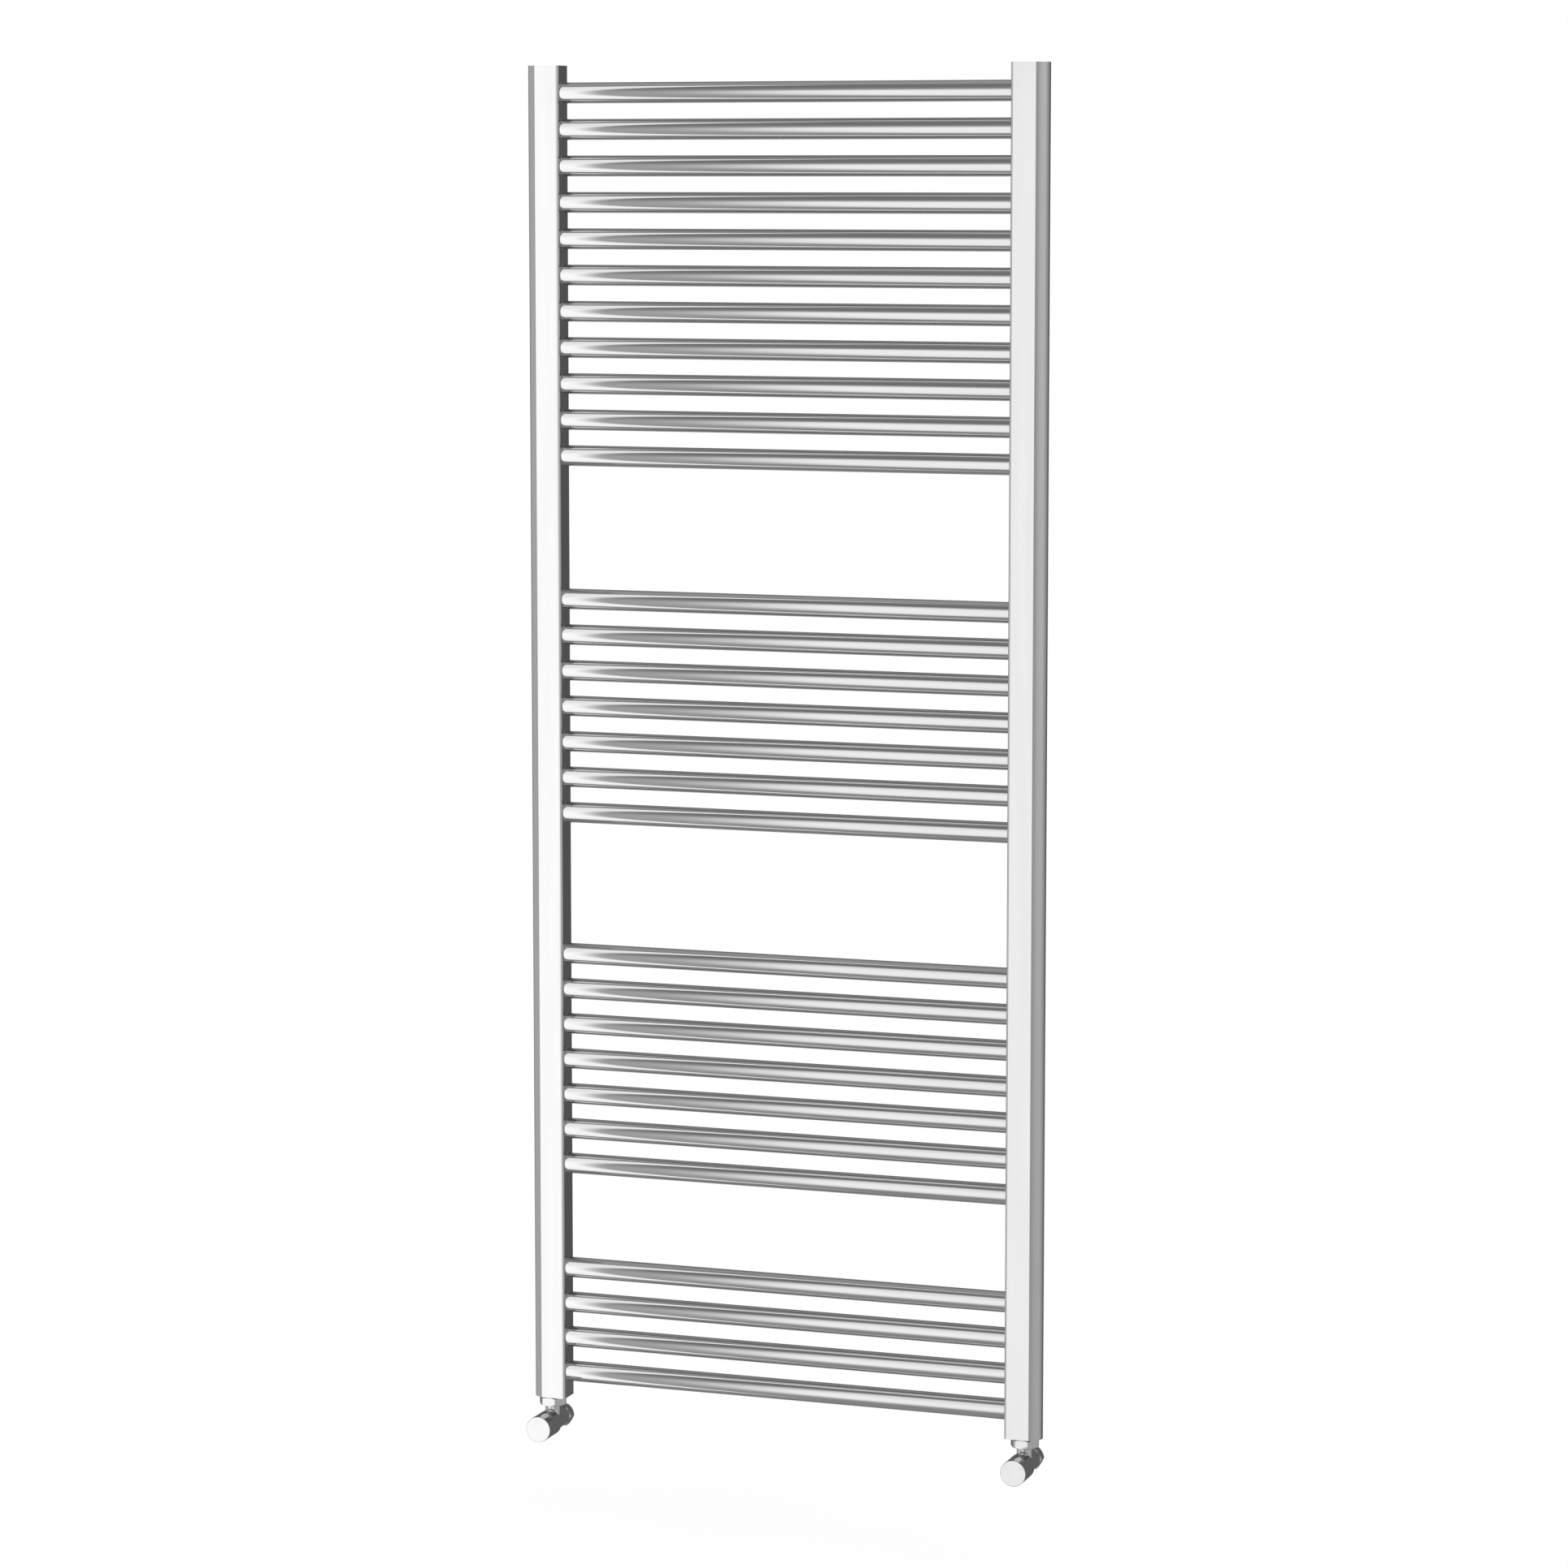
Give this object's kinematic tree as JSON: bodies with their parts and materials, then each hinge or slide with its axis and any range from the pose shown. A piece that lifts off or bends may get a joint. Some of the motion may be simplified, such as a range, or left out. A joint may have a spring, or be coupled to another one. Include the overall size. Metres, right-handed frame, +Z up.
{
  "type": "ladder towel radiator with angle valves",
  "caption": "Chrome ladder towel radiator: straight round rungs in spaced groups between D-shaped uprights, with a pair of angle valves below for pipes from the wall.",
  "frame": {"origin": "middle of the ladder: halfway between the uprights, halfway up them, on the plane of the rung axes", "axes": "+X along the rungs to the control valve's side, +Y to the wall, +Z up; the front faces -Y"},
  "size_m": [0.6, 0.0802, 1.544],
  "materials": {
    "chrome_tube": "bright chrome plate on steel tube",
    "chrome_fitting": "bright chrome plate on brass fittings",
    "chrome_cap": "bright chrome plate on the valve heads",
    "brass": "turned brass, uncoated",
    "rubber": "black seal rubber"
  },
  "bodies": {
    "radiator": {"upright_left": "chrome_tube", "upright_right": "chrome_tube", "rung_01": "chrome_tube", "rung_02": "chrome_tube", "rung_03": "chrome_tube", "rung_04": "chrome_tube", "rung_05": "chrome_tube", "rung_06": "chrome_tube", "rung_07": "chrome_tube", "rung_08": "chrome_tube", "rung_09": "chrome_tube", "rung_10": "chrome_tube", "rung_11": "chrome_tube", "rung_12": "chrome_tube", "rung_13": "chrome_tube", "rung_14": "chrome_tube", "rung_15": "chrome_tube", "rung_16": "chrome_tube", "rung_17": "chrome_tube", "rung_18": "chrome_tube", "rung_19": "chrome_tube", "rung_20": "chrome_tube", "rung_21": "chrome_tube", "rung_22": "chrome_tube", "rung_23": "chrome_tube", "rung_24": "chrome_tube", "rung_25": "chrome_tube", "rung_26": "chrome_tube", "rung_27": "chrome_tube", "rung_28": "chrome_tube", "rung_29": "chrome_tube", "top_cap_left": "chrome_tube", "bottom_cap_left": "chrome_tube", "top_cap_right": "chrome_tube", "bottom_cap_right": "chrome_tube", "air_vent_plug": "chrome_fitting", "blanking_plug": "chrome_fitting", "tailpiece_left": "chrome_fitting", "union_seal_left": "rubber", "union_nut_left": "chrome_fitting", "valve_body_left": "chrome_fitting", "olive_left": "brass", "compression_nut_left": "chrome_fitting", "bonnet_left": "brass", "gland_ring_left": "rubber", "tailpiece_right": "chrome_fitting", "union_seal_right": "rubber", "union_nut_right": "chrome_fitting", "valve_body_right": "chrome_fitting", "olive_right": "brass", "compression_nut_right": "chrome_fitting", "bonnet_right": "brass", "gland_ring_right": "rubber"},
    "control_wheel": {"handwheel": "chrome_cap", "spindle_right": "brass"},
    "control_plug": {"valve_plug_right": "brass"},
    "shield_cap": {"lockshield_cap": "chrome_cap"},
    "lockshield_spindle": {"spindle_left": "brass"},
    "lockshield_plug": {"valve_plug_left": "brass"},
    "vent_screw": {"air_vent_screw": "brass"}
  },
  "joints": [
    {"name": "control_turn", "type": "hinge", "parent": "radiator", "child": "control_wheel", "pos_m": [0.28, 0, -0.7795], "axis": [0, -1, 0], "range_deg": [0, 540]},
    {"name": "control_plug_lift", "type": "slide", "parent": "radiator", "child": "control_plug", "axis": [0, -1, 0], "range_m": [0, 0.0036]},
    {"name": "shield_cap_pull", "type": "slide", "parent": "lockshield_spindle", "child": "shield_cap", "axis": [0, -1, 0], "range_m": [0, 0.04]},
    {"name": "lockshield_turn", "type": "hinge", "parent": "radiator", "child": "lockshield_spindle", "pos_m": [-0.28, 0, -0.7795], "axis": [0, -1, 0], "range_deg": [0, 540]},
    {"name": "lockshield_plug_lift", "type": "slide", "parent": "radiator", "child": "lockshield_plug", "axis": [0, -1, 0], "range_m": [0, 0.0036]},
    {"name": "vent_screw_turn", "type": "hinge", "parent": "radiator", "child": "vent_screw", "pos_m": [0.28, 0, 0.7495], "axis": [0, 0, 1], "range_deg": [0, 360]}
  ],
  "couplings": [
    {"joint": "control_plug_lift", "follows": "control_turn", "m_per_rad": 0.00038},
    {"joint": "lockshield_plug_lift", "follows": "lockshield_turn", "m_per_rad": 0.00038}
  ]
}
